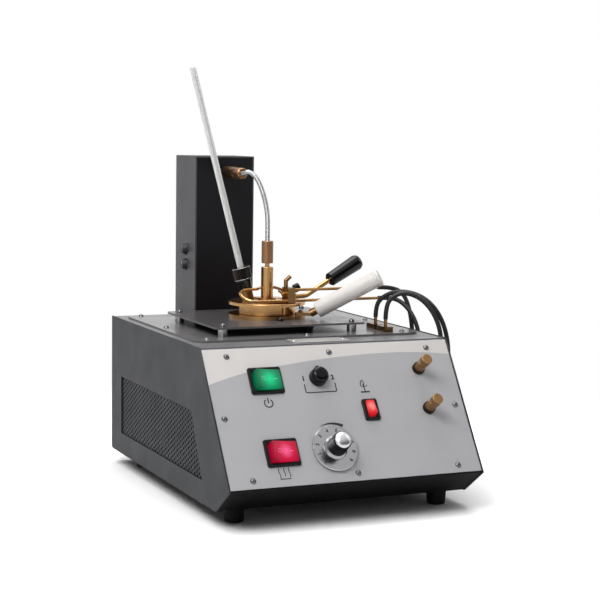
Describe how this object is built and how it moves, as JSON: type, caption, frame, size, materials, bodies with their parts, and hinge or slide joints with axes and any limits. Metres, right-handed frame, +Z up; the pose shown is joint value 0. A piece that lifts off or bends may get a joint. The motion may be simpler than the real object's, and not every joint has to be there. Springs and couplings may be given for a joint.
{
  "type": "flash point tester",
  "caption": "Closed-cup flash point tester: sloped console, heated brass cup with stirred lid, shutter, flame dipper, thermometer and motor tower.",
  "frame": {"origin": "on the bench under the middle of the instrument, cords left out", "axes": "+X to the operator's right, +Y to the rear, +Z up; the sloped control panel faces -Y"},
  "size_m": [0.277, 0.3815, 0.4234],
  "materials": {
    "aluminium": "brushed aluminium",
    "amber_lens": "lit red lens",
    "black_panel": "smooth black powder coat",
    "black_plastic": "glossy black plastic",
    "black_rubber": "black rubber",
    "board_green": "green circuit board",
    "brass": "satin machined brass",
    "dark_panel": "textured dark grey powder coat",
    "deck_grey": "satin dark grey plate",
    "glass": "frosted white-backed glass",
    "green_lens": "lit green lens",
    "insulation": "ceramic fibre",
    "iron": "dark cast iron",
    "knob_brass": "turned brass",
    "label": "satin anodised plate",
    "matt_black": "matt black plastic",
    "red_lens": "lit red lens",
    "silver_panel": "satin silver-grey print on metal",
    "steel": "bright steel",
    "stove_metal": "dark burnished plate",
    "top_grey": "satin grey powder coat",
    "white_plastic": "smooth white plastic"
  },
  "bodies": {
    "console": {"base_pan": "dark_panel", "left_side_panel": "dark_panel", "right_side_panel": "dark_panel", "top_shell": "top_grey", "front_panel": "silver_panel", "rear_panel": "dark_panel", "cover_screws": "steel", "feet": "black_rubber", "deck_plate": "deck_grey", "stove_plate": "stove_metal", "stove_posts": "steel", "data_plate": "label", "air_bath": "iron", "stove_insulation": "insulation", "switch_housings": "black_plastic", "selector_switch": "matt_black", "power_regulator": "matt_black", "gas_valves": "brass", "hose_fittings": "brass", "back_hose": "black_rubber", "front_hose": "black_rubber", "tower_shell": "dark_panel", "tower_front": "black_panel", "stirrer_motor": "steel", "speed_controls": "steel", "cup": "brass", "cup_lug": "brass", "cup_handle": "white_plastic", "mains_inlet": "black_plastic", "gas_inlet": "brass", "control_board": "board_green", "flexible_shaft": "steel"},
    "drive": {"drive_socket": "brass"},
    "power_rocker": {"power_rocker": "green_lens"},
    "heat_rocker": {"heat_rocker": "red_lens"},
    "burner_rocker": {"burner_rocker": "amber_lens"},
    "selector_knob": {"selector_knob": "black_plastic"},
    "power_dial": {"dial": "aluminium", "dial_knob": "black_plastic"},
    "pilot_valve_knob": {"pilot_valve_knob": "knob_brass"},
    "exposure_valve_knob": {"exposure_valve_knob": "knob_brass"},
    "speed_knob": {"speed_knob": "matt_black"},
    "ramp_knob": {"ramp_knob": "matt_black"},
    "lid": {"lid": "brass", "stirrer_column": "brass", "thermometer_socket": "brass", "gas_block": "brass", "gas_tubes": "brass", "pilot_jet": "brass"},
    "stirrer": {"stirrer_shaft": "brass", "propellers": "brass", "drive_coupling": "brass"},
    "shutter": {"shutter": "brass", "shutter_rod": "brass", "shutter_grip": "black_plastic"},
    "dipper": {"flame_dipper": "brass"},
    "thermometer": {"thermometer": "glass"},
    "thermometer_nut": {"thermometer_nut": "matt_black"},
    "thumb_screw": {"thumb_screw": "steel"}
  },
  "joints": [
    {"name": "lid_lift", "type": "slide", "parent": "console", "child": "lid", "axis": [0, 0, 1], "range_m": [0, 0.012], "deforming": ["flexible_shaft", "back_hose", "front_hose"]},
    {"name": "stirrer_spin", "type": "hinge", "parent": "lid", "child": "stirrer", "pos_m": [-0.0075, 0.027, 0.1854], "axis": [0, 0, 1], "continuous": true},
    {"name": "drive_spin", "type": "hinge", "parent": "console", "child": "drive", "pos_m": [-0.026, 0.102, 0.3152], "axis": [0, -1, 0], "continuous": true},
    {"name": "shutter_turn", "type": "hinge", "parent": "lid", "child": "shutter", "pos_m": [-0.0075, 0.027, 0.1854], "axis": [0, 0, 1], "range_deg": [0, 36], "stiffness_Nm_per_rad": 0.03, "springref_deg": -17.19},
    {"name": "flame_dip", "type": "hinge", "parent": "lid", "child": "dipper", "pos_m": [0.0007, 0.004, 0.1944], "axis": [-1, 0, 0], "range_deg": [0, 45]},
    {"name": "thermometer_slide", "type": "slide", "parent": "lid", "child": "thermometer", "axis": [-0.2306, 0.0731, 0.9703], "range_m": [0, 0.08]},
    {"name": "thermometer_nut_turn", "type": "hinge", "parent": "lid", "child": "thermometer_nut", "pos_m": [-0.02561, 0.03275, 0.1854], "axis": [-0.2306, 0.0731, 0.9703], "range_deg": [0, 360]},
    {"name": "thumb_screw_turn", "type": "hinge", "parent": "lid", "child": "thumb_screw", "pos_m": [0.0104, 0.0086, 0.1966], "axis": [0.9135, 0, 0.4067], "range_deg": [0, 360]},
    {"name": "power_rock", "type": "hinge", "parent": "console", "child": "power_rocker", "pos_m": [-0.0715, -0.12175, 0.12518], "axis": [0, 0.5573, 0.8303], "range_deg": [-24, 0]},
    {"name": "heat_rock", "type": "hinge", "parent": "console", "child": "heat_rocker", "pos_m": [-0.0715, -0.16226, 0.06482], "axis": [0, 0.5573, 0.8303], "range_deg": [-24, 0]},
    {"name": "burner_rock", "type": "hinge", "parent": "console", "child": "burner_rocker", "pos_m": [0.0284, -0.14164, 0.09554], "axis": [-1, 0, 0], "range_deg": [-24, 0]},
    {"name": "selector_turn", "type": "hinge", "parent": "console", "child": "selector_knob", "pos_m": [-0.0184, -0.12593, 0.12811], "axis": [0, -0.8303, 0.5573], "range_deg": [-45, 45]},
    {"name": "dial_turn", "type": "hinge", "parent": "console", "child": "power_dial", "pos_m": [-0.0184, -0.1665, 0.06766], "axis": [0, 0.8303, -0.5573], "range_deg": [0, 270]},
    {"name": "pilot_valve_turn", "type": "hinge", "parent": "console", "child": "pilot_valve_knob", "pos_m": [0.09, -0.12359, 0.1316], "axis": [0, -0.8303, 0.5573], "range_deg": [0, 540]},
    {"name": "exposure_valve_turn", "type": "hinge", "parent": "console", "child": "exposure_valve_knob", "pos_m": [0.09, -0.14699, 0.09672], "axis": [0, -0.8303, 0.5573], "range_deg": [0, 540]},
    {"name": "speed_turn", "type": "hinge", "parent": "console", "child": "speed_knob", "pos_m": [-0.059, 0.13, 0.2324], "axis": [1, 0, 0], "range_deg": [0, 270]},
    {"name": "ramp_turn", "type": "hinge", "parent": "console", "child": "ramp_knob", "pos_m": [-0.059, 0.13, 0.2159], "axis": [1, 0, 0], "range_deg": [0, 270]}
  ],
  "couplings": [
    {"joint": "flame_dip", "follows": "shutter_turn", "ratio": 1.25},
    {"joint": "drive_spin", "follows": "stirrer_spin", "ratio": -1}
  ]
}
